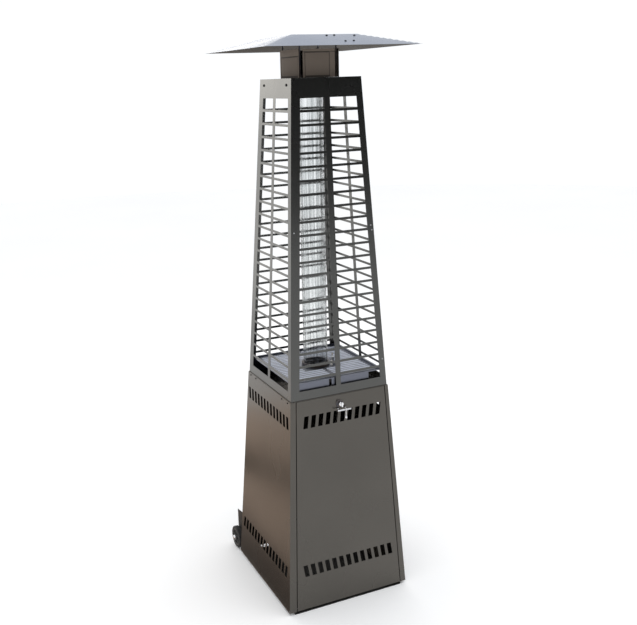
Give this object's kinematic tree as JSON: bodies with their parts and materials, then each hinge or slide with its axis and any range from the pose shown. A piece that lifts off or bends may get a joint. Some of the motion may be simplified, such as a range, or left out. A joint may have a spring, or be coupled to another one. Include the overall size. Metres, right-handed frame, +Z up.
{
  "type": "gas patio heater",
  "caption": "Square tapered gas heater: vented housing with tilting door and wheels, slotted cage round a glass flame tube, flat reflector on studs.",
  "frame": {"origin": "middle of the base tray's underside, on the ground", "axes": "+Z up, -Y out of the door, +Y towards the wheels, +X to the right of someone facing the door"},
  "size_m": [0.622, 0.691, 2.27],
  "materials": {
    "housing_sheet": "satin metallic grey with a faint brown cast",
    "cage_sheet": "satin metallic grey",
    "base_tray_sheet": "dull near-black",
    "burner_tray_sheet": "satin, bluish grey",
    "neck_sheet": "matt warm grey",
    "reflector_sheet": "bright satin",
    "dark_steel": "dark, heat-stained",
    "chrome_trim": "bright plated",
    "plated_steel": "dull zinc",
    "brass_fittings": "satin",
    "control_plastic": "fine-grained",
    "wheel_plastic": "moulded, slightly glossy",
    "wheel_rubber": "matt",
    "electrode_ceramic": null,
    "flame_glass": "clear, smooth"
  },
  "bodies": {
    "frame": {"base_tray": "base_tray_sheet", "side_panel_left": "housing_sheet", "side_panel_right": "housing_sheet", "rear_panel": "housing_sheet", "top_deck": "housing_sheet", "hinge_pin_left": "plated_steel", "hinge_pin_right": "plated_steel", "wheel_bracket_left": "base_tray_sheet", "wheel_bracket_right": "base_tray_sheet", "wheel_axle": "plated_steel", "axle_cap_left": "chrome_trim", "axle_cap_right": "chrome_trim", "valve_bracket": "plated_steel", "gas_valve": "plated_steel", "gas_inlet": "brass_fittings", "igniter_body": "control_plastic", "burner_pipe": "plated_steel", "tilt_switch": "control_plastic", "burner_tray": "burner_tray_sheet", "burner_cup": "dark_steel", "burner_mesh": "dark_steel", "pilot_burner": "plated_steel", "thermocouple": "brass_fittings", "ignition_electrode": "electrode_ceramic", "glass_seat": "dark_steel", "glass_tube": "flame_glass", "tube_collar": "dark_steel", "guard_front": "cage_sheet", "guard_right": "cage_sheet", "guard_rear": "cage_sheet", "guard_left": "cage_sheet", "post_front_left": "cage_sheet", "post_front_right": "cage_sheet", "post_rear_right": "cage_sheet", "post_rear_left": "cage_sheet", "cage_top_plate": "cage_sheet", "neck_front": "neck_sheet", "neck_rear": "neck_sheet", "neck_left": "neck_sheet", "neck_right": "neck_sheet", "reflector_stud_front_left": "dark_steel", "reflector_stud_front_right": "dark_steel", "reflector_stud_rear_right": "dark_steel", "reflector_stud_rear_left": "dark_steel", "reflector": "reflector_sheet"},
    "door": {"front_door": "housing_sheet", "latch_bezel": "dark_steel", "pull_bar": "chrome_trim"},
    "lock": {"latch_knob": "chrome_trim", "latch_cam": "plated_steel"},
    "pendant": {"pull_drop": "chrome_trim"},
    "left_wheel": {"wheel_left": "wheel_plastic", "tyre_left": "wheel_rubber"},
    "right_wheel": {"wheel_right": "wheel_plastic", "tyre_right": "wheel_rubber"},
    "stem": {"valve_stem": "plated_steel"},
    "knob": {"control_knob": "control_plastic"},
    "igniter": {"igniter_button": "control_plastic"}
  },
  "joints": [
    {"name": "door_tilt", "type": "hinge", "parent": "frame", "child": "door", "pos_m": [0, -0.26603, 0.01998], "axis": [1, 0, 0], "range_deg": [0, 80]},
    {"name": "lock_turn", "type": "hinge", "parent": "door", "child": "lock", "pos_m": [-0.005, -0.22095, 0.861], "axis": [0, -0.998, 0.0627], "range_deg": [0, 90]},
    {"name": "pendant_swing", "type": "hinge", "parent": "door", "child": "pendant", "pos_m": [0.011, -0.24435, 0.83938], "axis": [1, 0, 0], "range_deg": [-85, 18]},
    {"name": "left_wheel_roll", "type": "hinge", "parent": "frame", "child": "left_wheel", "pos_m": [0, 0.33, 0.052], "axis": [1, 0, 0], "continuous": true},
    {"name": "right_wheel_roll", "type": "hinge", "parent": "frame", "child": "right_wheel", "pos_m": [0, 0.33, 0.052], "axis": [1, 0, 0], "continuous": true},
    {"name": "knob_push", "type": "slide", "parent": "frame", "child": "stem", "axis": [0, -0.998, -0.0627], "range_m": [0, 0.003], "stiffness_N_per_m": 600},
    {"name": "knob_turn", "type": "hinge", "parent": "stem", "child": "knob", "pos_m": [0, 0.23106, 0.7], "axis": [0, 0.998, 0.0627], "range_deg": [0, 270]},
    {"name": "igniter_push", "type": "slide", "parent": "frame", "child": "igniter", "axis": [0, -0.998, -0.0627], "range_m": [0, 0.004], "stiffness_N_per_m": 500}
  ]
}
